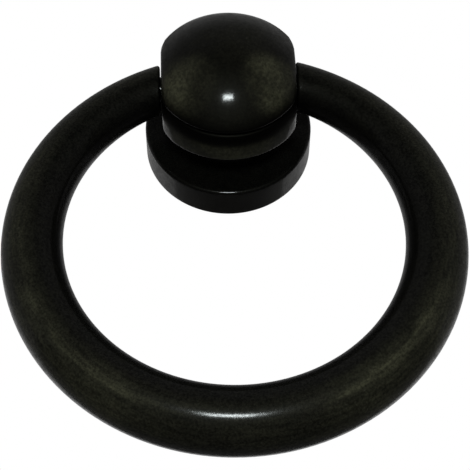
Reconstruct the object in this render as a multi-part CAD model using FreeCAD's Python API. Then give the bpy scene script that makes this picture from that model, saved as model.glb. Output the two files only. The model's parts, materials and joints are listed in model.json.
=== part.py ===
import FreeCAD, Part
import math
import os

# Ring pull handle for a drawer or cabinet door, in millimetres.
# The mounting panel is the plane Y = 0, the pull stands out of it towards -Y and the ring hangs towards -Z.
# Heights are distances from the panel, so a height H lies at Y = -H.

# Base disc
BASE_DIAMETER = 23.4
BASE_THICKNESS = 5.2
BASE_BACK_BREAK = 0.3
BASE_FRONT_ROUND = 0.5

# Waist between the base disc and the band
WAIST_DIAMETER = 12.0
WAIST_FOOT_ROUND = 0.9
WAIST_HOLLOW = 0.5

# Flared band that carries the cross hole
BAND_RIM_DIAMETER = 21.8
BAND_RIM_HEIGHT = 12.3
BAND_RIM_ROUND = 0.35
BAND_TOP_DIAMETER = 19.6
BAND_SWELL = 0.2

# Groove between the band and the domed head
GROOVE_HEIGHT = 16.5
GROOVE_WIDTH = 1.0
GROOVE_FLOOR_DIAMETER = 18.0
HEAD_EDGE_ROUND = 0.5

# Head: a cap of a ball that overhangs the groove
HEAD_BALL_RADIUS = 12.85
PROJECTION = 22.6

# Flats, cross hole and tapped hole
WIDTH_ACROSS_FLATS = 18.2
PIVOT_HEIGHT = 13.8
CROSS_HOLE_DIAMETER = 3.5
TAPPED_HOLE_DIAMETER = 3.3
TAPPED_HOLE_DEPTH = 9.0
DRILL_POINT_ANGLE = 118.0

# Ring: round bar, thinnest at its two ends and thickest at the bottom
RING_WIDTH = 60.0
BAR_SIDE_DIAMETER = 7.9
BAR_BOTTOM_DIAMETER = 8.7
BAR_END_DIAMETER = 6.5
BAR_END_BREAK = 0.3
SECTION_COUNT = 25

# Pivot pegs on the ring's ends
END_CLEARANCE = 0.2
PEG_RADIAL_CLEARANCE = 0.05
PEG_REACH = 4.0
PEG_TIP_BREAK = 0.4

# Sizes that follow from the ones above
flat_half_width = WIDTH_ACROSS_FLATS / 2
ring_end = flat_half_width + END_CLEARANCE
peg_radius = CROSS_HOLE_DIAMETER / 2 - PEG_RADIAL_CLEARANCE
ring_radius = (RING_WIDTH - BAR_SIDE_DIAMETER) / 2
end_angle = math.pi - math.asin(ring_end / ring_radius)
ring_drop = -ring_radius * math.cos(end_angle)
ring_centre = FreeCAD.Vector(0, -PIVOT_HEIGHT, -ring_drop)

ORIGIN = FreeCAD.Vector(0, 0, 0)
ACROSS = FreeCAD.Vector(1, 0, 0)
OUT = FreeCAD.Vector(0, -1, 0)
UP = FreeCAD.Vector(0, 0, 1)


def at(radius, height):
    """A point of the post's turned profile."""
    return FreeCAD.Vector(radius, -height, 0)


def line(start, end):
    return Part.LineSegment(start, end).toShape()


def arc(start, through, end):
    return Part.Arc(start, through, end).toShape()


def bowed(start, end, bow):
    """Shallow arc between two points of the profile, bowed outwards by the given height."""
    chord = end - start
    outwards = FreeCAD.Vector(-chord.y, chord.x, 0).normalize()
    return arc(start, (start + end) * 0.5 + outwards * bow, end)


def quarter_round(start, corner, end):
    """The tangent arc that rounds a square corner."""
    chord_middle = (start + end) * 0.5
    radius = (start - corner).Length
    inner_centre = start + end - corner
    through = inner_centre + (chord_middle - inner_centre).normalize() * radius
    return arc(start, through, end)


def post_profile():
    """Half section of the post, from the middle of its back to the middle of its head."""
    base = BASE_DIAMETER / 2
    waist = WAIST_DIAMETER / 2
    rim = BAND_RIM_DIAMETER / 2
    band_top = BAND_TOP_DIAMETER / 2
    ball_centre = PROJECTION - HEAD_BALL_RADIUS
    groove_low = GROOVE_HEIGHT - GROOVE_WIDTH / 2
    groove_high = GROOVE_HEIGHT + GROOVE_WIDTH / 2

    def dome(angle):
        return at(HEAD_BALL_RADIUS * math.cos(angle), ball_centre + HEAD_BALL_RADIUS * math.sin(angle))

    back_inner = at(base - BASE_BACK_BREAK, 0)
    back_outer = at(base, BASE_BACK_BREAK)
    front_outer = at(base, BASE_THICKNESS - BASE_FRONT_ROUND)
    front_inner = at(base - BASE_FRONT_ROUND, BASE_THICKNESS)
    foot_outer = at(waist + WAIST_FOOT_ROUND, BASE_THICKNESS)
    foot_inner = at(waist, BASE_THICKNESS + WAIST_FOOT_ROUND)
    rim_low = at(rim - BAND_RIM_ROUND, BAND_RIM_HEIGHT - BAND_RIM_ROUND)
    rim_high = at(rim, BAND_RIM_HEIGHT)
    band_edge = at(band_top, groove_low)
    groove_floor = at(GROOVE_FLOOR_DIAMETER / 2, GROOVE_HEIGHT)
    edge_angle = math.asin((groove_high + HEAD_EDGE_ROUND - ball_centre) / HEAD_BALL_RADIUS)
    head_edge = dome(edge_angle)
    head_corner = at(head_edge.x, groove_high)
    head_low = at(head_edge.x - HEAD_EDGE_ROUND, groove_high)
    head_middle = dome((edge_angle + math.pi / 2) / 2)
    top = at(0, PROJECTION)

    edges = [
        line(ORIGIN, back_inner),
        line(back_inner, back_outer),
        line(back_outer, front_outer),
        quarter_round(front_outer, at(base, BASE_THICKNESS), front_inner),
        line(front_inner, foot_outer),
        quarter_round(foot_outer, at(waist, BASE_THICKNESS), foot_inner),
        bowed(foot_inner, rim_low, -WAIST_HOLLOW),
        quarter_round(rim_low, at(rim, BAND_RIM_HEIGHT - BAND_RIM_ROUND), rim_high),
        bowed(rim_high, band_edge, BAND_SWELL),
        arc(band_edge, groove_floor, head_low),
        quarter_round(head_low, head_corner, head_edge),
        arc(head_edge, head_middle, top),
        line(top, ORIGIN),
    ]
    return Part.Face(Part.Wire(edges))


def tapped_hole():
    """Tapping-size hole in the back of the post, with the drill's point at its end."""
    radius = TAPPED_HOLE_DIAMETER / 2
    point = radius / math.tan(math.radians(DRILL_POINT_ANGLE / 2))
    wall = Part.makeCylinder(radius, TAPPED_HOLE_DEPTH, ORIGIN, OUT)
    tip = Part.makeCone(radius, 0, point, OUT * TAPPED_HOLE_DEPTH, OUT)
    return wall.fuse(tip).removeSplitter()


def flat_cutter(side):
    """Block that takes the head and the band down to one flat, clear of the base disc."""
    foot = (BASE_THICKNESS + BAND_RIM_HEIGHT) / 2
    depth = 2 * HEAD_BALL_RADIUS
    block = Part.makeBox(depth, PROJECTION, 2 * depth)
    left = flat_half_width if side > 0 else -flat_half_width - depth
    block.translate(FreeCAD.Vector(left, -foot - PROJECTION, -depth))
    return block


def make_post():
    turned = post_profile().revolve(ORIGIN, OUT, 360)
    cross_start = FreeCAD.Vector(-BASE_DIAMETER, -PIVOT_HEIGHT, 0)
    cross_hole = Part.makeCylinder(CROSS_HOLE_DIAMETER / 2, 2 * BASE_DIAMETER, cross_start, ACROSS)
    return turned.cut([flat_cutter(1), flat_cutter(-1), cross_hole, tapped_hole()])


def bar_radius(angle):
    """Radius of the ring's bar at an angle from the ring's bottom."""
    bottom = BAR_BOTTOM_DIAMETER / 2
    side = BAR_SIDE_DIAMETER / 2
    end = BAR_END_DIAMETER / 2
    depth = math.cos(angle)
    deepest_end = math.cos(end_angle)
    rise = bottom - side
    fall = (end - side) / deepest_end
    bend = (rise - fall) / (1 - deepest_end)
    return side + (rise - bend) * depth + bend * depth ** 2


def bar_section(angle):
    """Round section of the bar, turned about the ring's centre from the bottom to its place."""
    bottom = ring_centre - UP * ring_radius
    section = Part.Wire(Part.makeCircle(bar_radius(angle), bottom, ACROSS))
    section.rotate(ring_centre, OUT, math.degrees(angle))
    return section


def make_bar():
    """Open ring of graduated bar, lofted a little past its ends and then cut square there."""
    overrun = BAR_END_DIAMETER * math.tan(math.pi - end_angle) / ring_radius
    reach = end_angle + overrun
    step = 2 * reach / (SECTION_COUNT - 1)
    bar = Part.makeLoft([bar_section(index * step - reach) for index in range(SECTION_COUNT)], True)
    cutter_size = 2 * BAR_END_DIAMETER
    cutter = Part.makeBox(2 * ring_end, cutter_size, cutter_size)
    cutter.translate(FreeCAD.Vector(-ring_end, -PIVOT_HEIGHT - cutter_size / 2, -cutter_size / 2))
    return bar.cut(cutter)


def break_end_edges(bar):
    """Small chamfer round the two square ends of the bar."""
    edges = []
    for edge in bar.Edges:
        box = edge.BoundBox
        if box.XLength < BAR_END_BREAK / 10 and abs(abs(box.XMin) - ring_end) < BAR_END_BREAK / 10:
            edges.append(edge)
    return bar.makeChamfer(BAR_END_BREAK, edges)


def make_peg(side):
    """Turned-down end of the bar that reaches into the cross hole."""
    root = FreeCAD.Vector(side * ring_end, -PIVOT_HEIGHT, 0)
    inwards = ACROSS * -side
    overlap = BAR_END_DIAMETER / 4
    barrel_length = END_CLEARANCE + PEG_REACH - PEG_TIP_BREAK
    barrel = Part.makeCylinder(peg_radius, overlap + barrel_length, root - inwards * overlap, inwards)
    tip_start = root + inwards * barrel_length
    tip = Part.makeCone(peg_radius, peg_radius - PEG_TIP_BREAK, PEG_TIP_BREAK, tip_start, inwards)
    return barrel.fuse(tip)


def make_ring():
    bar = break_end_edges(make_bar())
    return bar.fuse([make_peg(1), make_peg(-1)])


os.makedirs("parts", exist_ok=True)
make_post().exportStep("parts/post.step")
make_ring().exportStep("parts/ring.step")
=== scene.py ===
import bmesh
import bpy
import json
import math
from mathutils import Matrix, Vector


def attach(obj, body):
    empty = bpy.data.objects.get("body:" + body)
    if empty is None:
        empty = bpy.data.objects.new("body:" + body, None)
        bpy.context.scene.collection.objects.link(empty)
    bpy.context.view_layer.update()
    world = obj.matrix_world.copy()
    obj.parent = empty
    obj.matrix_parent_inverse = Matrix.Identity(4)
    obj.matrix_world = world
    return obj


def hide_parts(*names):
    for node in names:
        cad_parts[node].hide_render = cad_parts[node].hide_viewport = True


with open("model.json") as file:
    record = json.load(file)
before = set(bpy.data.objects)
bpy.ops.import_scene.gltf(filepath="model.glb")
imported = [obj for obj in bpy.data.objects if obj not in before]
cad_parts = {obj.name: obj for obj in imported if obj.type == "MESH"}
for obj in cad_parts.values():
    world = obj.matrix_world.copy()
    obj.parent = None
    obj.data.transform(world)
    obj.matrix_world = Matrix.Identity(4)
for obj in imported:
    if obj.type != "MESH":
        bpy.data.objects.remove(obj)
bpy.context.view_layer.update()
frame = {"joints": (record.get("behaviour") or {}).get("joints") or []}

# Ring pull handle. Sizes are in millimetres, as on the drawing, and MM turns them into metres.
# The panel is the plane Y = 0, the post stands out towards -Y and the ring hangs towards -Z.
MM = 0.001
pivot = Vector(frame["joints"][0]["pos_m"])

# Post: radii from its axis and heights from the panel
BASE_RADIUS = 11.699
BASE_THICKNESS = 5.2
BASE_BACK_ROUND = 0.3
BASE_FRONT_ROUND = 0.5
WAIST_RADIUS = 6.0
WAIST_FOOT_ROUND = 0.9
WAIST_HOLLOW = 0.5
BAND_RADIUS = 10.9
BAND_HEIGHT = 12.3
BAND_ROUND = 0.35
BAND_SWELL = 0.2
BAND_TOP_RADIUS = 9.8
GROOVE_LOW = 16.0
GROOVE_MIDDLE = 16.5
GROOVE_HIGH = 17.0
GROOVE_PULL_RADIUS = 8.4
GROOVE_LIP_INSET = 0.34
GROOVE_LIP_RISE = 0.06
HEAD_BALL_RADIUS = 12.85
HEAD_TOP = 22.6
HEAD_EDGE_ROUND = 0.4
FLAT = 9.1
CROSS_HOLE_RADIUS = 1.75
DRILL_LENGTH = 30
DRILL_SEGMENTS = 64
above_waist = (BASE_THICKNESS + BAND_HEIGHT) / 2

# Post mesh: faces round its axis, and how far the even points of a flat stretch keep off its rounded edges
POST_SEGMENTS = 240
BACK_START = 3.0
BACK_MARGIN = 0.5
SIDE_MARGIN = 0.4
FACE_MARGIN = 0.3

# Soft edges of the flats, and soft corners at the band and the head: height, distance from the axis, reach
FLAT_EDGE_ZONE = 0.55
EDGE_PASSES = 8
CORNER_PASSES = 24
SMOOTHING = 0.5
SOFT_CORNERS = ((BAND_HEIGHT, 6.0, 1.8), (GROOVE_HIGH + 0.6, 4.5, 1.1))

# Tapped hole in the back of the post, M4 with a pitch of 0.7
TAP_MINOR_RADIUS = 1.65
TAP_MAJOR_RADIUS = 2.0
TAP_PITCH = 0.7
TAP_DEPTH = 9.0
DRILL_HALF_ANGLE = 59
THREAD_HALF_ANGLE = 30
THREAD_TURNS = 16
THREAD_LEAD_IN = 2
THREAD_SEGMENTS = 48
SLEEVE_RADIUS = 2.15
SLEEVE_START = 0.35
SLEEVE_END = 8.6

# Ring
RING_RADIUS = 26.05
BAR_BOTTOM_RADIUS = 4.3495
BAR_SIDE_RADIUS = 3.95
BAR_END_RADIUS = 3.25
RING_END = 9.3
RING_END_ROUND = 0.35
RING_END_STEPS = 5
PEG_RADIUS = 1.7
PEG_TIP = 5.1
PEG_TIP_BREAK = 0.4
RING_SECTIONS = 136
BAR_SEGMENTS = 80
OVERRUN = math.radians(5)
ENDS_ABOVE = -12
end_angle = math.pi - math.asin(RING_END / RING_RADIUS)
ring_centre = Vector((0, pivot.y, MM * RING_RADIUS * math.cos(end_angle)))

# Gaps within which points are merged or count as lying on a cut
JOIN_GAP = 0.001
SLEEVE_GAP = 0.002
SLEEVE_RIM_GAP = 0.01
RIM_GAP = 0.02
CUT_GAP = 0.0001

# Edges that turn by more than this many degrees are shaded sharp
POST_SHARP_ANGLE = 32
THREAD_SHARP_ANGLE = 30
RING_SHARP_ANGLE = 35


def at(radius, height):
    """Place on the post's half section, in metres."""
    return Vector((radius * MM, -height * MM, 0))


def arc(centre, radius, start, end, steps):
    """Points of the half section along an arc, its angles in degrees."""
    turns = [math.radians(start + (end - start) * k / steps) for k in range(steps + 1)]
    return [(centre[0] + radius * math.cos(t), centre[1] + radius * math.sin(t)) for t in turns]


def bowed(start, end, bow, steps):
    """Points along a shallow arc that bows outwards between two points of the half section."""
    run = (end[0] - start[0], end[1] - start[1])
    length = math.hypot(*run)
    side = (run[1] / length, -run[0] / length)
    points = []
    for k in range(steps + 1):
        t = k / steps
        rise = 4 * bow * t * (1 - t)
        points.append((start[0] + run[0] * t + side[0] * rise, start[1] + run[1] * t + side[1] * rise))
    return points


def soft_corner(before, corner, after, steps):
    """Points that round a corner off between the points before and after it."""
    points = []
    for k in range(steps + 1):
        t = k / steps
        a, b, c = (1 - t) ** 2, 2 * t * (1 - t), t ** 2
        points.append(tuple(a * p + b * q + c * r for p, q, r in zip(before, corner, after)))
    return points


def straight(start, end, steps):
    """Points evenly along a straight stretch of the half section."""
    return [tuple(p + (q - p) * k / steps for p, q in zip(start, end)) for k in range(steps + 1)]


def add_vertex(name, place):
    """A new piece in edit mode that is one vertex so far: a small plane merged to its middle."""
    bpy.ops.object.select_all(action="DESELECT")
    bpy.ops.mesh.primitive_plane_add(size=MM, location=place)
    piece = bpy.context.object
    piece.name = name
    bpy.ops.object.transform_apply(location=True, rotation=True, scale=True)
    bpy.ops.object.mode_set(mode="EDIT")
    bpy.ops.mesh.select_mode(type="VERT")
    bpy.ops.mesh.select_all(action="SELECT")
    bpy.ops.mesh.merge(type="CENTER")
    return piece


def draw_line(places):
    """Draws the selected vertex out through the next places, one edge at a time."""
    here = places[0]
    for place in places[1:]:
        bpy.ops.mesh.extrude_region_move(TRANSFORM_OT_translate={"value": place - here})
        here = place


def pick_vertices(piece, test):
    """Selects the vertices that pass the test, and the edges and faces between them."""
    bpy.ops.mesh.select_all(action="DESELECT")
    mesh = bmesh.from_edit_mesh(piece.data)
    for vertex in mesh.verts:
        vertex.select = bool(test(vertex))
    mesh.select_flush(True)
    bmesh.update_edit_mesh(piece.data)


def pick(piece, test):
    """Selects the vertices whose place in millimetres passes the test."""
    pick_vertices(piece, lambda vertex: test(vertex.co / MM))


def close_up():
    """Merges doubles and turns all faces outwards."""
    bpy.ops.mesh.select_all(action="SELECT")
    bpy.ops.mesh.remove_doubles(threshold=JOIN_GAP * MM)
    bpy.ops.mesh.normals_make_consistent(inside=False)


def leave_edit(sharp_angle):
    """Back to object mode, with edges softer than the angle shaded smooth."""
    bpy.ops.object.mode_set(mode="OBJECT")
    bpy.ops.object.shade_smooth_by_angle(angle=math.radians(sharp_angle))


def hole_section():
    """Half section of the hole in the post's back, from its bottom to its mouth."""
    tip = TAP_DEPTH + TAP_MINOR_RADIUS / math.tan(math.radians(DRILL_HALF_ANGLE))
    points = [(0, tip)]
    points += straight((TAP_MINOR_RADIUS, TAP_DEPTH), (TAP_MINOR_RADIUS, SLEEVE_END), steps=2)
    points += straight((SLEEVE_RADIUS, SLEEVE_END), (SLEEVE_RADIUS, SLEEVE_START), steps=4)
    points += [(SLEEVE_RADIUS + SLEEVE_START, 0)]
    return points


def base_section():
    """Half section of the base disc, from its back round to its front."""
    back_edge = BASE_RADIUS - BASE_BACK_ROUND
    front_edge = BASE_RADIUS - BASE_FRONT_ROUND
    front_shoulder = BASE_THICKNESS - BASE_FRONT_ROUND
    side_low = (BASE_RADIUS, BASE_BACK_ROUND + SIDE_MARGIN)
    side_high = (BASE_RADIUS, front_shoulder - SIDE_MARGIN)
    face_outer = (front_edge - FACE_MARGIN, BASE_THICKNESS)
    face_inner = (WAIST_RADIUS + WAIST_FOOT_ROUND + FACE_MARGIN, BASE_THICKNESS)
    points = straight((BACK_START, 0), (back_edge - BACK_MARGIN, 0), steps=12)
    points += arc((back_edge, BASE_BACK_ROUND), BASE_BACK_ROUND, -90, 0, steps=5)
    points += straight(side_low, side_high, steps=8)
    points += arc((front_edge, front_shoulder), BASE_FRONT_ROUND, 0, 90, steps=8)
    points += straight(face_outer, face_inner, steps=8)
    return points


def band_section():
    """Half section of the waist and the flared band, up to the lip of the groove."""
    foot = (WAIST_RADIUS + WAIST_FOOT_ROUND, BASE_THICKNESS + WAIST_FOOT_ROUND)
    rim_low = (BAND_RADIUS - BAND_ROUND, BAND_HEIGHT - BAND_ROUND)
    band_top = (BAND_TOP_RADIUS, GROOVE_LOW)
    groove_lip = (BAND_TOP_RADIUS - GROOVE_LIP_INSET, GROOVE_LOW + GROOVE_LIP_RISE)
    band = bowed((BAND_RADIUS, BAND_HEIGHT), band_top, BAND_SWELL, steps=18)
    points = arc(foot, WAIST_FOOT_ROUND, 270, 180, steps=8)
    points += bowed((WAIST_RADIUS, foot[1]), rim_low, -WAIST_HOLLOW, steps=24)[1:]
    points += arc((rim_low[0], BAND_HEIGHT), BAND_ROUND, -90, 0, steps=7)[1:]
    points += band[1:-2]
    points += soft_corner(band[-2], band_top, groove_lip, steps=6)
    return points


def head_section(groove_lip):
    """Half section of the groove and the head: a cap of a ball with a rounded lip."""
    ball_centre = HEAD_TOP - HEAD_BALL_RADIUS
    inner_ball = HEAD_BALL_RADIUS - HEAD_EDGE_ROUND
    lip_height = GROOVE_HIGH + HEAD_EDGE_ROUND
    lip_angle = math.asin((lip_height - ball_centre) / inner_ball)
    lip_radius = inner_ball * math.cos(lip_angle)
    groove_pull = (GROOVE_PULL_RADIUS, GROOVE_MIDDLE)
    points = soft_corner(groove_lip, groove_pull, (lip_radius, GROOVE_HIGH), steps=10)[1:]
    points += arc((lip_radius, lip_height), HEAD_EDGE_ROUND, -90, math.degrees(lip_angle), steps=12)[1:]
    points += arc((0, ball_centre), HEAD_BALL_RADIUS, math.degrees(lip_angle), 90, steps=44)[1:-1]
    points += [(0, HEAD_TOP)]
    return points


def post_section():
    """Half section of the post from the bottom of its hole round to the top of its head."""
    lower = hole_section() + base_section() + band_section()
    return [at(*point) for point in lower + head_section(lower[-1])]


def turn_post():
    """The post, turned like the real one, flattened on both sides of its head and band, and bored."""
    section = post_section()
    post = add_vertex("post_turned", section[0])
    draw_line(section)
    bpy.ops.mesh.select_all(action="SELECT")
    bpy.ops.mesh.spin(steps=POST_SEGMENTS, angle=2 * math.pi, center=(0, 0, 0), axis=(0, 1, 0))
    close_up()
    flatten_sides(post)
    soften_corners(post)
    bpy.ops.mesh.select_all(action="SELECT")
    bpy.ops.mesh.normals_make_consistent(inside=False)
    bpy.ops.object.mode_set(mode="OBJECT")
    bore_cross_hole(post)
    bpy.ops.object.shade_smooth_by_angle(angle=math.radians(POST_SHARP_ANGLE))
    return post


def flatten_sides(post):
    """Presses the head and the band in to the two flats and softens the edges that this leaves."""
    near_edge = set()
    for vertex in bmesh.from_edit_mesh(post.data).verts:
        place = vertex.co / MM
        if -place.y > above_waist and abs(abs(place.x) - FLAT) < FLAT_EDGE_ZONE:
            near_edge.add(vertex.index)
    for side in (1, -1):
        pick(post, lambda p: -p.y > above_waist and side * p.x > FLAT)
        bpy.ops.transform.resize(value=(0, 1, 1), center_override=(side * FLAT * MM, 0, 0))
    pick_vertices(post, lambda vertex: vertex.index in near_edge)
    bpy.ops.mesh.vertices_smooth(factor=SMOOTHING, repeat=EDGE_PASSES)


def soften_corners(post):
    """Softens the corners where the flats meet the band's rim and the head's lip."""
    for height, distance, reach in SOFT_CORNERS:
        for side in (1, -1):
            for half in (1, -1):
                corner = Vector((side * FLAT, -height, half * distance))
                pick(post, lambda p: (p - corner).length < reach)
                bpy.ops.mesh.vertices_smooth(factor=SMOOTHING, repeat=CORNER_PASSES)


def bore_cross_hole(post):
    """Bores the hole for the ring's pegs through the post."""
    bpy.ops.object.select_all(action="DESELECT")
    bpy.ops.mesh.primitive_cylinder_add(
        vertices=DRILL_SEGMENTS, radius=CROSS_HOLE_RADIUS * MM, depth=DRILL_LENGTH * MM,
        location=pivot, rotation=(0, math.pi / 2, 0))
    drill = bpy.context.object
    bpy.ops.object.select_all(action="DESELECT")
    post.select_set(True)
    bpy.context.view_layer.objects.active = post
    bore = post.modifiers.new("bore", "BOOLEAN")
    bore.operation = "DIFFERENCE"
    bore.solver = "EXACT"
    bore.object = drill
    bpy.ops.object.modifier_apply(modifier=bore.name)
    bpy.data.objects.remove(drill)


def thread_line():
    """One pitch of the thread's outline: crest, flank, root and flank."""
    flank = (TAP_MAJOR_RADIUS - TAP_MINOR_RADIUS) * math.tan(math.radians(THREAD_HALF_ANGLE))
    root = TAP_PITCH / 8
    crest = TAP_PITCH - root - 2 * flank
    corners = [
        (TAP_MINOR_RADIUS, 0),
        (TAP_MINOR_RADIUS, crest),
        (TAP_MAJOR_RADIUS, crest + flank),
        (TAP_MAJOR_RADIUS, crest + flank + root),
        (TAP_MINOR_RADIUS, TAP_PITCH),
    ]
    return [at(radius, height - THREAD_LEAD_IN * TAP_PITCH) for radius, height in corners]


def wind_thread(thread):
    """Winds one pitch of outline into a right-hand screw thread."""
    wind = thread.modifiers.new("wind", "SCREW")
    wind.axis = "Y"
    wind.angle = -2 * math.pi
    wind.screw_offset = -TAP_PITCH * MM
    wind.iterations = THREAD_TURNS
    wind.steps = THREAD_SEGMENTS
    wind.render_steps = THREAD_SEGMENTS
    wind.use_merge_vertices = True
    wind.merge_threshold = JOIN_GAP * MM
    bpy.ops.object.modifier_apply(modifier=wind.name)


def cut_thread():
    """The thread of the tapped hole: a sleeve whose inside is a screw thread."""
    line = thread_line()
    thread = add_vertex("post_thread", line[0])
    draw_line(line)
    bpy.ops.object.mode_set(mode="OBJECT")
    wind_thread(thread)
    bpy.ops.object.mode_set(mode="EDIT")
    close_up()
    for height, outwards in ((SLEEVE_START, 1), (SLEEVE_END, -1)):
        bpy.ops.mesh.select_all(action="SELECT")
        bpy.ops.mesh.bisect(
            plane_co=(0, -height * MM, 0), plane_no=(0, outwards, 0),
            clear_outer=True, threshold=CUT_GAP * MM)
    for height in (SLEEVE_START, SLEEVE_END):
        draw_sleeve_edge(thread, height)
    pick(thread, lambda p: math.hypot(p.x, p.z) > SLEEVE_RADIUS - SLEEVE_RIM_GAP)
    bpy.ops.mesh.bridge_edge_loops()
    close_up()
    leave_edit(THREAD_SHARP_ANGLE)
    return thread


def draw_sleeve_edge(thread, height):
    """Draws one cut edge of the thread out to the round edge of its sleeve."""
    pick(thread, lambda p: abs(p.y + height) < SLEEVE_GAP)
    bpy.ops.mesh.remove_doubles(threshold=SLEEVE_GAP * MM)
    bpy.ops.mesh.extrude_region_move()
    bpy.ops.transform.tosphere(value=1)
    edge = [v for v in bmesh.from_edit_mesh(thread.data).verts if v.select]
    reach = sum(math.hypot(v.co.x, v.co.z) for v in edge) / len(edge)
    grow = SLEEVE_RADIUS * MM / reach
    bpy.ops.transform.resize(value=(grow, 1, grow), center_override=(0, -height * MM, 0))


def bar_radius(angle):
    """Radius of the ring's bar at an angle from the ring's bottom."""
    depth = math.cos(angle)
    deepest = math.cos(end_angle)
    rise = BAR_BOTTOM_RADIUS - BAR_SIDE_RADIUS
    fall = (BAR_END_RADIUS - BAR_SIDE_RADIUS) / deepest
    bend = (rise - fall) / (1 - deepest)
    return BAR_SIDE_RADIUS + (rise - bend) * depth + bend * depth ** 2


def bend_ring():
    """The open ring: a round bar bent round from end to end, cut square there and turned down to pegs."""
    reach = end_angle + OVERRUN
    angles = [reach - 2 * reach * k / RING_SECTIONS for k in range(RING_SECTIONS + 1)]
    bpy.ops.object.select_all(action="DESELECT")
    bottom = ring_centre + Vector((0, 0, -RING_RADIUS * MM))
    bpy.ops.mesh.primitive_circle_add(
        vertices=BAR_SEGMENTS, radius=bar_radius(reach) * MM, location=bottom, rotation=(0, math.pi / 2, 0))
    ring = bpy.context.object
    ring.name = "ring_bar"
    bpy.ops.object.transform_apply(location=True, rotation=True, scale=True)
    bpy.ops.object.mode_set(mode="EDIT")
    bpy.ops.mesh.select_mode(type="VERT")
    bpy.ops.mesh.select_all(action="SELECT")
    bpy.ops.transform.rotate(value=reach, orient_axis="Y", center_override=ring_centre)
    for before, angle in zip(angles, angles[1:]):
        middle = ring_centre + Vector((math.sin(angle), 0, -math.cos(angle))) * RING_RADIUS * MM
        grow = bar_radius(angle) / bar_radius(before)
        bpy.ops.mesh.extrude_region_move()
        bpy.ops.transform.rotate(value=angle - before, orient_axis="Y", center_override=ring_centre)
        bpy.ops.transform.resize(value=(grow, grow, grow), center_override=middle)
    for side in (1, -1):
        square_end(ring, side)
    close_up()
    leave_edit(RING_SHARP_ANGLE)
    return ring


def end_outlines(cut, wide, deep):
    """Outlines from the cut to the peg's tip: place along the pivot, half width and half height."""
    outlines = []
    for k in range(1, RING_END_STEPS + 1):
        turn = math.pi / 2 * k / RING_END_STEPS
        inset = RING_END_ROUND * (1 - math.cos(turn))
        outlines.append((cut - RING_END_ROUND * math.sin(turn), wide - inset, deep - inset))
    tip_radius = PEG_RADIUS - PEG_TIP_BREAK
    outlines.append((RING_END, PEG_RADIUS, PEG_RADIUS))
    outlines.append((PEG_TIP + PEG_TIP_BREAK, PEG_RADIUS, PEG_RADIUS))
    outlines.append((PEG_TIP, tip_radius, tip_radius))
    return outlines


def square_end(ring, side):
    """Cuts one end of the bar square, rounds its edge and draws its peg out."""
    cut = RING_END + RING_END_ROUND
    pick(ring, lambda p: side * p.x > 0 and p.z > ENDS_ABOVE)
    bpy.ops.mesh.bisect(
        plane_co=(side * cut * MM, 0, 0), plane_no=(side, 0, 0), clear_inner=True, threshold=CUT_GAP * MM)
    pick(ring, lambda p: abs(side * p.x - cut) < JOIN_GAP and p.z > ENDS_ABOVE)
    bpy.ops.mesh.remove_doubles(threshold=RIM_GAP * MM)
    rim = [v.co.copy() for v in bmesh.from_edit_mesh(ring.data).verts if v.select]
    high = max(p.z for p in rim)
    low = min(p.z for p in rim)
    middle = Vector((0, pivot.y, (high + low) / 2))
    here = cut
    wide = (max(p.y for p in rim) - min(p.y for p in rim)) / 2 / MM
    deep = (high - low) / 2 / MM
    for place, next_wide, next_deep in end_outlines(cut, wide, deep):
        bpy.ops.mesh.extrude_region_move(TRANSFORM_OT_translate={"value": (side * (place - here) * MM, 0, 0)})
        bpy.ops.transform.resize(value=(1, next_wide / wide, next_deep / deep), center_override=middle)
        if next_wide == PEG_RADIUS and wide != PEG_RADIUS:
            bpy.ops.transform.translate(value=(0, 0, pivot.z - middle.z))
            middle.z = pivot.z
        here, wide, deep = place, next_wide, next_deep
    bpy.ops.mesh.edge_face_add()


post = turn_post()
thread = cut_thread()
ring = bend_ring()
for piece, node in ((post, "post"), (thread, "post"), (ring, "ring")):
    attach(piece, node)
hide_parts("post")
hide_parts("ring")


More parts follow.
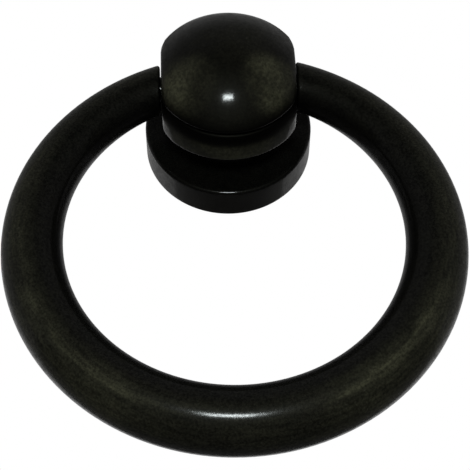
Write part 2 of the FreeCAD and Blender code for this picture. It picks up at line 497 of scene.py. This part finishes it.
class Socket:
    """An output socket of a node tree that adds Math nodes when it is reckoned with."""

    def __init__(self, tree, output=None):
        self.tree = tree
        self.output = output

    def node(self, kind, settings=None, inputs=None, output=0):
        """Adds any node: its settings first, then the values or links of its sockets."""
        node = self.tree.nodes.new(kind)
        for name, value in (settings or {}).items():
            setattr(node, name, value)
        for name, value in (inputs or {}).items():
            if isinstance(value, Socket):
                self.tree.links.new(value.output, node.inputs[name])
            else:
                node.inputs[name].default_value = value
        return Socket(self.tree, node.outputs[output] if node.outputs else None)

    def math(self, operation, *values):
        return self.node("ShaderNodeMath", {"operation": operation}, dict(enumerate(values)))

    def __add__(self, other):
        return self.math("ADD", self, other)

    def __radd__(self, other):
        return self.math("ADD", other, self)

    def __sub__(self, other):
        return self.math("SUBTRACT", self, other)

    def __rsub__(self, other):
        return self.math("SUBTRACT", other, self)

    def __mul__(self, other):
        return self.math("MULTIPLY", self, other)

    def __rmul__(self, other):
        return self.math("MULTIPLY", other, self)

    def __pow__(self, other):
        return self.math("POWER", self, other)

    def __neg__(self):
        return self.math("SUBTRACT", 0.0, self)

    def __abs__(self):
        return self.math("ABSOLUTE", self)

    def step(self, low, high):
        """Smooth rise from 0 at low to 1 at high."""
        return self.node(
            "ShaderNodeMapRange", {"interpolation_type": "SMOOTHSTEP"},
            {"Value": self, "From Min": low, "From Max": high, "To Min": 0.0, "To Max": 1.0})

    def between(self, start, full, fade, end):
        """Smooth rise from start to full and fall from fade to end."""
        return self.step(start, full) * (1.0 - self.step(fade, end))

    def fade(self, depth):
        """Factor that is 1 where the mask is 1, and short of 1 by the depth where it is 0."""
        return self * depth + (1.0 - depth)

    def blend(self, first, second):
        """Colour mixed from first at 0 to second at 1, by the colour sockets of a Mix node."""
        return self.node("ShaderNodeMix", {"data_type": "RGBA"}, {"Factor": self, 6: first, 7: second}, 2)

    def noise(self, scale, detail, roughness):
        """Noise over a vector, with about as many patches to the unit as the scale says."""
        return self.node(
            "ShaderNodeTexNoise", {"noise_dimensions": "3D"},
            {"Vector": self, "Scale": scale, "Detail": detail, "Roughness": roughness})


def new_material(name):
    """An empty material, and a socket to start its nodes from."""
    material = bpy.data.materials.new(name)
    material.use_nodes = True
    material.node_tree.nodes.clear()
    return material, Socket(material.node_tree)


def light_path(start, kind):
    """1 for rays of a kind and 0 for others."""
    return start.node("ShaderNodeLightPath", output=kind)


def part_of(vector, axis):
    """One of the three parts of a vector."""
    return vector.node("ShaderNodeSeparateXYZ", None, {"Vector": vector}, axis)


def finish_material(start, surface):
    """Joins the finished surface to the material's output."""
    start.node("ShaderNodeOutputMaterial", None, {"Surface": surface})


# Colours of the iron, from the darkest
# Near black for painted shade, laid into the groove under the head and on the inside of the ring
PAINTED_SHADE_BLACK = (0.0006, 0.0005, 0.0005, 1)
CAST_BLACK = (0.0010, 0.0010, 0.0009, 1)
CAST_GREY = (0.0066, 0.0065, 0.0051, 1)
# Olive for painted sheen that stands for reflected room light, and in part for rubbed wear
SHEEN_AND_WEAR_OLIVE = (0.0480, 0.0476, 0.0290, 1)
# Pale specks, which act as painted glints inside the painted sheen
PALE_SPECK = (0.065, 0.063, 0.050, 1)
OLIVE_SHEEN = (1.0, 0.97, 0.78, 1)
SHEEN = 0.07
RELIEF_STRENGTH = 0.5
RELIEF_DEPTH = 0.04

# Patterns of the iron: patches to the millimetre, detail and roughness
STREAKS = (2.0, 4.0, 0.6)
CLOUDS = (0.09, 3.0, 0.55)
MOTTLE = (0.9, 4.0, 0.65)
GRAIN = (3.4, 3.0, 0.6)

# How strongly each pattern shows in the finish, how rough its wax is, and how much wax the painted shade
# takes away
RING_FINISH = {
    "wax_roughness": 0.155, "wax_lost_in_shade": 0.7, "paleness": 1.0, "streaks": 0.55, "clouds": 0.5, "grain": 0.8}
POST_FINISH = {
    "wax_roughness": 0.12, "wax_lost_in_shade": 1.0, "paleness": 0.45, "streaks": 0.5, "clouds": 0.75, "grain": 0.4}

# Painted sheen, painted shade and wear of the ring: turns round the ring from its bottom and round its bar
# from the outside, in radians.
# A stretch gives where its mark starts, is full, begins to fade and ends.
# The painted sheen is strongest about this far round from the ring's bottom
SHEEN_TURN = 0.85
CREST_TURN = 1.22
CREST_HALF_WIDTH = 0.24
CREST_STRETCH = (0.25, 0.6, 0.95, 1.35)
# Painted shade on the inside of the bar: it starts 1.4 mm in from the bar's middle and is full at 4 mm
INSIDE_PAINTED_SHADE = (1.4, 4.0)
STREAK_LENGTH = 3.5
RING_WAX = 0.47

# Painted sheen, painted shade and wear of the post: the middle and reach of the painted reflections on the
# head's shoulders, and stretches of height
SPOT_ASIDE = 6.0
SPOT_BELOW = 4.4
SPOT_REACH = 5.1
HEAD_START = (16.0, 18.0)
BASE_END = (4.4, 5.0)
BAND_STRETCH = (10.0, 11.5, 14.0, 15.0)
# Painted shade under the head's lip: it rises over the band, is full in the groove and fades out on the
# head's lower part
GROOVE_PAINTED_SHADE = (13.8, 15.4, 17.2, 19.4)
BASE_EDGE = (4.5, 4.8, 5.1, 5.6)
BASE_WAX = 0.18
UPPER_WAX = 0.25
UPPER_START = (4.6, 5.1)
BASE_EDGE_WAX = 0.3


def ring_wear_and_painted_light(start, place):
    """Where the ring gets its olive painted sheen and crest highlight, its painted shade on the inside and
    its wax, and the vector along which its streaks are drawn.
    """
    x, y, z = (part_of(place, axis) for axis in "XYZ")
    down = ring_centre.z / MM - z
    turn = start.math("ARCTAN2", x, down)
    out = (x * x + down * down) ** 0.5 - RING_RADIUS
    deep = y - ring_centre.y / MM
    drawn = start.node("ShaderNodeCombineXYZ", None, {"X": turn * STREAK_LENGTH, "Y": deep, "Z": out})
    way_round = abs(turn)
    past_sheen_turn = way_round - SHEEN_TURN
    # Painted reflection: olive on the side of the bar that faces out and forwards, strongest part way up the
    # ring and faint at its bottom
    front = (out * 0.187 - deep * 0.165).step(0.4, 1.0)
    sheen_and_wear = front * (0.6 - 0.2 * past_sheen_turn.step(0.15, 0.65) - 0.4 * (-past_sheen_turn).step(0.1, 0.6))
    # Painted highlight along the bar's front crest, which is partly rubbed wear there
    off_crest = abs(start.math("ARCTAN2", -deep, out) - CREST_TURN)
    crest = (1.0 - off_crest.step(0.0, CREST_HALF_WIDTH)) * way_round.between(*CREST_STRETCH)
    # Painted shade on the inside of the ring
    painted_shade = (-out).step(*INSIDE_PAINTED_SHADE)
    return drawn, sheen_and_wear + 0.6 * crest, painted_shade, RING_WAX


def post_wear_and_painted_light(start, place):
    """Where the post gets its olive painted reflections and sheen, its painted shade in the groove, and its
    wax. Its streaks follow no direction.
    """
    x, y, z = (part_of(place, axis) for axis in "XYZ")
    height = -y
    aside = abs(x) - SPOT_ASIDE
    below = z + SPOT_BELOW
    # Painted reflections: two olive spots on the head's shoulders, over a faint olive on the whole head
    spots = 1.0 - (aside * aside + below * below).step(0.0, SPOT_REACH ** 2)
    head = height.step(*HEAD_START) * (0.12 + 1.05 * spots)
    # The band gets a lighter painted sheen, and the base's side gets a faint olive tone
    band = height.between(*BAND_STRETCH)
    base = 1.0 - height.step(*BASE_END)
    # Painted shade in the groove under the head
    painted_shade = height.between(*GROOVE_PAINTED_SHADE)
    wax = BASE_WAX + UPPER_WAX * height.step(*UPPER_START) + BASE_EDGE_WAX * height.between(*BASE_EDGE)
    return place, head + 0.42 * band + 0.07 * base, painted_shade, wax


def blackened_iron(name, wear_and_painted_light, finish):
    """Cast iron, blackened and waxed: near black, with olive painted sheen where light is reflected, partly
    rubbed wear, and painted shade in the groove and on the ring's inside.
    """
    material, start = new_material(name)
    metres = start.node("ShaderNodeTexCoord", output="Object")
    place = start.node("ShaderNodeVectorMath", {"operation": "SCALE"}, {0: metres, "Scale": 1 / MM})
    drawn, sheen_and_wear, painted_shade, wax = wear_and_painted_light(start, place)
    streaks = drawn.noise(*STREAKS)
    clouds = place.noise(*CLOUDS)
    mottle = place.noise(*MOTTLE)
    grain = place.noise(*GRAIN)
    grains = grain.step(0.32, 0.68)

    # Olive painted sheen, partly rubbed wear, broken up by clouds, streaks and grain
    olive_sheen_and_wear = sheen_and_wear * clouds.step(0.32, 0.60).fade(finish["clouds"])
    olive_sheen_and_wear = olive_sheen_and_wear * streaks.step(0.36, 0.66).fade(finish["streaks"])
    olive_sheen_and_wear = olive_sheen_and_wear * (grains * finish["grain"] + (1.0 - finish["grain"] / 2))
    # Pale specks of grain that show only inside the painted sheen, where they stand for painted glints
    specks = grain.step(0.62, 0.73) * clouds.step(0.46, 0.64) * sheen_and_wear
    cast = (mottle * 0.4 + grain * 0.6).step(0.36, 0.66) * finish["paleness"]
    colour = cast.blend(CAST_BLACK, CAST_GREY)
    colour = olive_sheen_and_wear.blend(colour, SHEEN_AND_WEAR_OLIVE)
    colour = specks.blend(colour, PALE_SPECK)
    # Painted shade: near black in the groove and on the inside of the ring
    colour = painted_shade.blend(colour, PAINTED_SHADE_BLACK)

    roughness = 0.46 + 0.10 * olive_sheen_and_wear + 0.10 * mottle
    wax = wax * (1.0 - 0.4 * olive_sheen_and_wear) * (1.0 - 0.5 * mottle.step(0.45, 0.75))
    # The painted shade also takes the wax away, so that no highlight shows in it
    wax = wax * (1.0 - finish["wax_lost_in_shade"] * painted_shade) * (grains * 0.7 + 0.65)
    relief = grain * 0.35 + mottle * 0.65
    bump = start.node("ShaderNodeBump", None, {
        "Strength": RELIEF_STRENGTH, "Distance": RELIEF_DEPTH * MM, "Height": relief})
    surface = start.node("ShaderNodeBsdfPrincipled", None, {
        "Base Color": colour, "Roughness": roughness, "Normal": bump,
        "Specular IOR Level": SHEEN, "Specular Tint": OLIVE_SHEEN,
        "Coat Weight": wax, "Coat Roughness": finish["wax_roughness"]})
    finish_material(start, surface)
    return material


post_iron = blackened_iron("blackened_iron_turned", post_wear_and_painted_light, POST_FINISH)
ring_iron = blackened_iron("blackened_iron_bar", ring_wear_and_painted_light, RING_FINISH)
for piece, material in ((post, post_iron), (thread, post_iron), (ring, ring_iron)):
    piece.data.materials.clear()
    piece.data.materials.append(material)

# Studio, in metres: white behind the pull, a dim room in front of it and a pale floor well below
FLOOR_SIZE = 6
FLOOR_HEIGHT = -0.26
FLOOR_PALE = (0.8, 0.8, 0.8, 1)
PAPER_WHITE = (0.68, 0.68, 0.68, 1)
NEAR_SHADE = (0.03, 0.03, 0.03, 1)
FAR_SHADE = (0.12, 0.12, 0.12, 1)
NO_LIGHT = (0, 0, 0, 1)
WHITE = (1, 1, 1, 1)
ROOM_LIGHT = 0.30

# Room in reflections: its darkest level, and the light it gains between two steps from the front to the back
ROOM_FRONT = 0.012
ROOM_GAINS = ((0.11, -0.99, -0.5), (0.15, -0.4, 0.3), (0.73, 0.45, 0.95))
FLOOR_FRONT, FLOOR_BACK = -0.05, 0.4


def pale_floor():
    """Matt floor that takes the shadow, glows white to the camera and stays dim in reflections."""
    material, start = new_material("pale_floor")
    place = start.node("ShaderNodeTexCoord", output="Object")
    behind = part_of(place, "Y")
    matt = start.node("ShaderNodeBsdfDiffuse", None, {"Color": FLOOR_PALE})
    paper = light_path(start, "Is Camera Ray").blend(NO_LIGHT, PAPER_WHITE)
    glow = start.node("ShaderNodeEmission", None, {"Color": paper})
    bright = start.node("ShaderNodeAddShader", None, {0: matt, 1: glow})
    dim = behind.step(FLOOR_FRONT, FLOOR_BACK).blend(NEAR_SHADE, FAR_SHADE)
    shade = start.node("ShaderNodeEmission", None, {"Color": dim})
    mirrored = light_path(start, "Is Glossy Ray")
    finish_material(start, start.node("ShaderNodeMixShader", None, {0: mirrored, 1: bright, 2: shade}))
    return material


def studio_world():
    """White to the camera, an even light on the pull, and in reflections white behind and dark in front."""
    world = bpy.data.worlds.new("studio")
    world.use_nodes = True
    world.node_tree.nodes.clear()
    start = Socket(world.node_tree)
    way = start.node("ShaderNodeTexCoord", output="Generated")
    behind = part_of(way, "Y")
    room = ROOM_FRONT
    for gain, front, back in ROOM_GAINS:
        room = room + gain * behind.step(front, back)
    strength = ROOM_LIGHT + light_path(start, "Is Glossy Ray") * (room - ROOM_LIGHT)
    seen = start.math("MAXIMUM", light_path(start, "Is Camera Ray"), light_path(start, "Is Transmission Ray"))
    strength = strength + seen * (1.0 - strength)
    sky = start.node("ShaderNodeBackground", None, {"Color": WHITE, "Strength": strength})
    start.node("ShaderNodeOutputWorld", None, {"Surface": sky})
    return world


def add_lamp(name, place, towards, size, power, colour):
    """A soft lamp at a place, turned towards a point, its size given as width and height."""
    data = bpy.data.lights.new(name, "AREA")
    data.shape = "RECTANGLE"
    data.size, data.size_y = size
    data.energy = power
    data.color = colour
    lamp = bpy.data.objects.new(name, data)
    bpy.context.scene.collection.objects.link(lamp)
    lamp.location = place
    lamp.visible_camera = False
    lamp.rotation_euler = (Vector(towards) - Vector(place)).to_track_quat("-Z", "Y").to_euler()
    return lamp


bpy.ops.object.select_all(action="DESELECT")
bpy.ops.mesh.primitive_plane_add(size=FLOOR_SIZE, location=(0, 0, FLOOR_HEIGHT))
floor = bpy.context.object
floor.name = "floor"
floor.data.materials.append(pale_floor())
bpy.context.scene.world = studio_world()

# The small key lamp makes the highlights on the head and the ring, the side lamps only light the colours
add_lamp(
    "key_lamp", place=(-0.003, -0.152, -0.0735), towards=(0, -0.02, -0.028),
    size=(0.029, 0.017), power=0.088, colour=(0.92, 1.0, 1.0))
for name, side in (("left_lamp", -1), ("right_lamp", 1)):
    side_lamp = add_lamp(
        name, place=(side * 0.285, -0.31, 0.0), towards=(0, -0.014, -0.01),
        size=(0.3, 0.3), power=0.08, colour=(1.0, 0.93, 0.62))
    side_lamp.visible_glossy = False

# Camera at the photograph's angle: below the pull and looking up at it
AZIMUTH = math.radians(-1.583)
ELEVATION = math.radians(-32.405)
ROLL = math.radians(-2.427)
AIM = Vector((0.061, -14.0, -24.01))
DISTANCE = 206.2
LENS = 122.55
SENSOR_WIDTH = 36
NEAREST = 0.01
outwards = Vector((math.sin(AZIMUTH), -math.cos(AZIMUTH), 0))
back = math.cos(ELEVATION) * outwards + Vector((0, 0, math.sin(ELEVATION)))
level_right = Vector((math.cos(AZIMUTH), math.sin(AZIMUTH), 0))
level_up = back.cross(level_right)
right = math.cos(ROLL) * level_right + math.sin(ROLL) * level_up
up = math.cos(ROLL) * level_up - math.sin(ROLL) * level_right
pose = Matrix((right, up, back)).transposed().to_4x4()
pose.translation = AIM * MM + back * DISTANCE * MM
camera_data = bpy.data.cameras.new("camera")
camera_data.lens = LENS
camera_data.sensor_width = SENSOR_WIDTH
camera_data.clip_start = NEAREST
camera = bpy.data.objects.new("camera", camera_data)
bpy.context.scene.collection.objects.link(camera)
camera.matrix_world = pose
bpy.context.scene.camera = camera
bpy.context.scene.view_settings.view_transform = "Standard"
